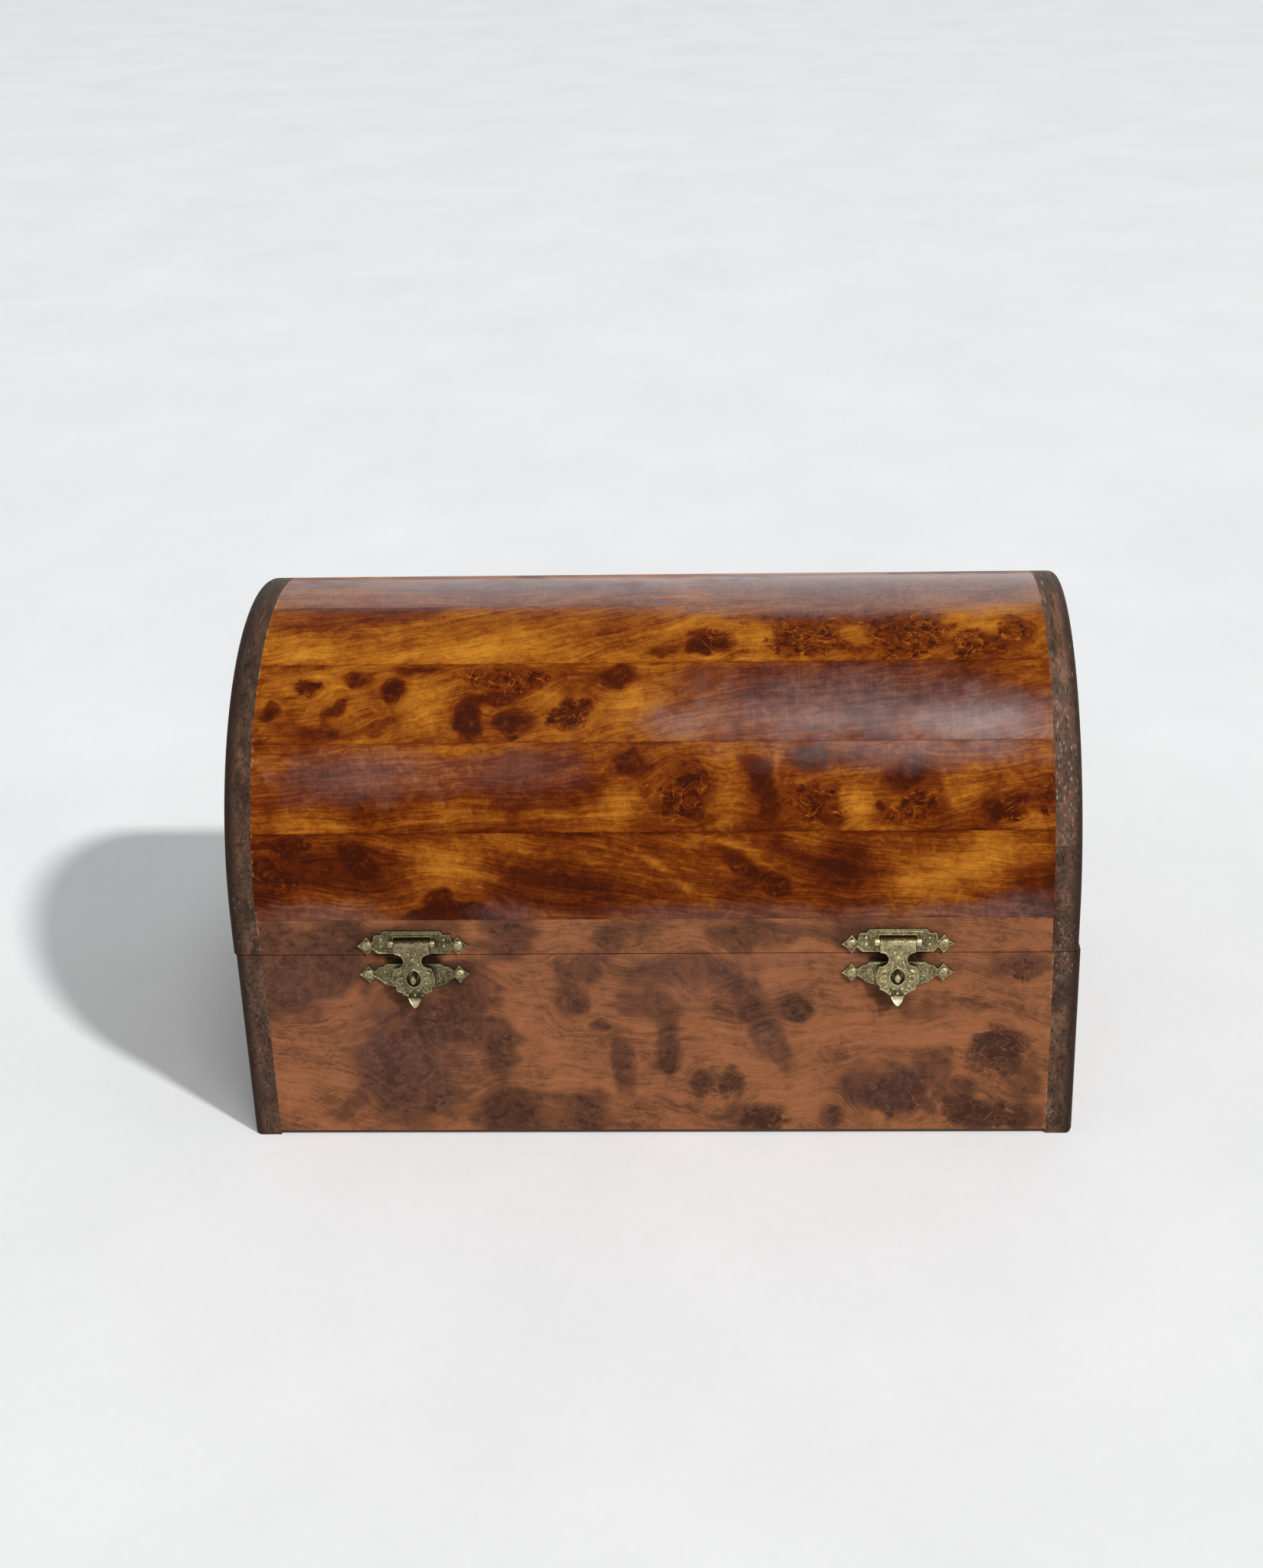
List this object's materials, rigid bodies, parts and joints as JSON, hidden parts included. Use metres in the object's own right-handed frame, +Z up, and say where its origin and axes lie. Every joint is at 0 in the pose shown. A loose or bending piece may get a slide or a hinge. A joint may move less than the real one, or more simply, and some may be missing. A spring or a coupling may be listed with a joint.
{
  "type": "barrel-top keepsake box",
  "caption": "Barrel-topped wooden box with burl-veneered strips over a half-round lid, dark end boards, rear hinges and small ornamental brass hasps.",
  "frame": {"origin": "middle of the wooden footprint, on the face the box stands on", "axes": "+X along the box to the right seen from the front, +Y to the back where the hinges are, +Z up"},
  "size_m": [0.2506, 0.1568, 0.15],
  "materials": {
    "dome_burl": "satin varnish over amber burl veneer",
    "side_burl": "satin varnish over red-brown burl veneer",
    "dark_wood": "worn dark stain, nearly matt",
    "core_wood": "plain planed wood",
    "bottom_wood": "stained board",
    "antique_brass": "antiqued, stippled",
    "hinge_brass": "dull brass"
  },
  "bodies": {
    "case": {"bottom_board": "bottom_wood", "case_front_panel": "core_wood", "case_back_panel": "core_wood", "case_front_veneer": "side_burl", "case_back_veneer": "side_burl", "case_left_cheek": "dark_wood", "case_right_cheek": "dark_wood", "case_hinge_screws": "hinge_brass", "keeper_nails": "antique_brass", "hinge_left_case_leaf": "hinge_brass", "hinge_left_pin": "hinge_brass", "keeper_left_plate": "antique_brass", "keeper_left_stud": "antique_brass", "hinge_right_case_leaf": "hinge_brass", "hinge_right_pin": "hinge_brass", "keeper_right_plate": "antique_brass", "keeper_right_stud": "antique_brass"},
    "lid": {"lid_front_rail": "core_wood", "lid_back_rail": "core_wood", "lid_front_veneer": "side_burl", "lid_back_veneer": "side_burl", "lid_left_cheek_lower": "dark_wood", "lid_left_cheek_upper": "dark_wood", "lid_right_cheek_lower": "dark_wood", "lid_right_cheek_upper": "dark_wood", "lid_hinge_screws": "hinge_brass", "hasp_nails": "antique_brass", "lid_stave_1": "core_wood", "lid_strip_veneer_1": "dome_burl", "lid_stave_2": "core_wood", "lid_strip_veneer_2": "dome_burl", "lid_stave_3": "core_wood", "lid_strip_veneer_3": "dome_burl", "lid_stave_4": "core_wood", "lid_strip_veneer_4": "dome_burl", "lid_stave_5": "core_wood", "lid_strip_veneer_5": "dome_burl", "lid_stave_6": "core_wood", "lid_strip_veneer_6": "dome_burl", "lid_stave_7": "core_wood", "lid_strip_veneer_7": "dome_burl", "lid_stave_8": "core_wood", "lid_strip_veneer_8": "dome_burl", "lid_stave_9": "core_wood", "lid_strip_veneer_9": "dome_burl", "hinge_left_lid_leaf": "hinge_brass", "hasp_left_plate": "antique_brass", "hasp_left_pin": "antique_brass", "hinge_right_lid_leaf": "hinge_brass", "hasp_right_plate": "antique_brass", "hasp_right_pin": "antique_brass"},
    "left_tongue": {"hasp_left_tongue": "antique_brass"},
    "right_tongue": {"hasp_right_tongue": "antique_brass"}
  },
  "joints": [
    {"name": "lid_hinge", "type": "hinge", "parent": "case", "child": "lid", "pos_m": [0, 0.0735, 0.0625], "axis": [-1, 0, 0], "range_deg": [0, 100]},
    {"name": "left_tongue_pivot", "type": "hinge", "parent": "lid", "child": "left_tongue", "pos_m": [-0.0715, -0.0777, 0.0669], "axis": [-1, 0, 0], "range_deg": [0, 150]},
    {"name": "right_tongue_pivot", "type": "hinge", "parent": "lid", "child": "right_tongue", "pos_m": [0.0715, -0.0777, 0.0669], "axis": [-1, 0, 0], "range_deg": [0, 150]}
  ]
}
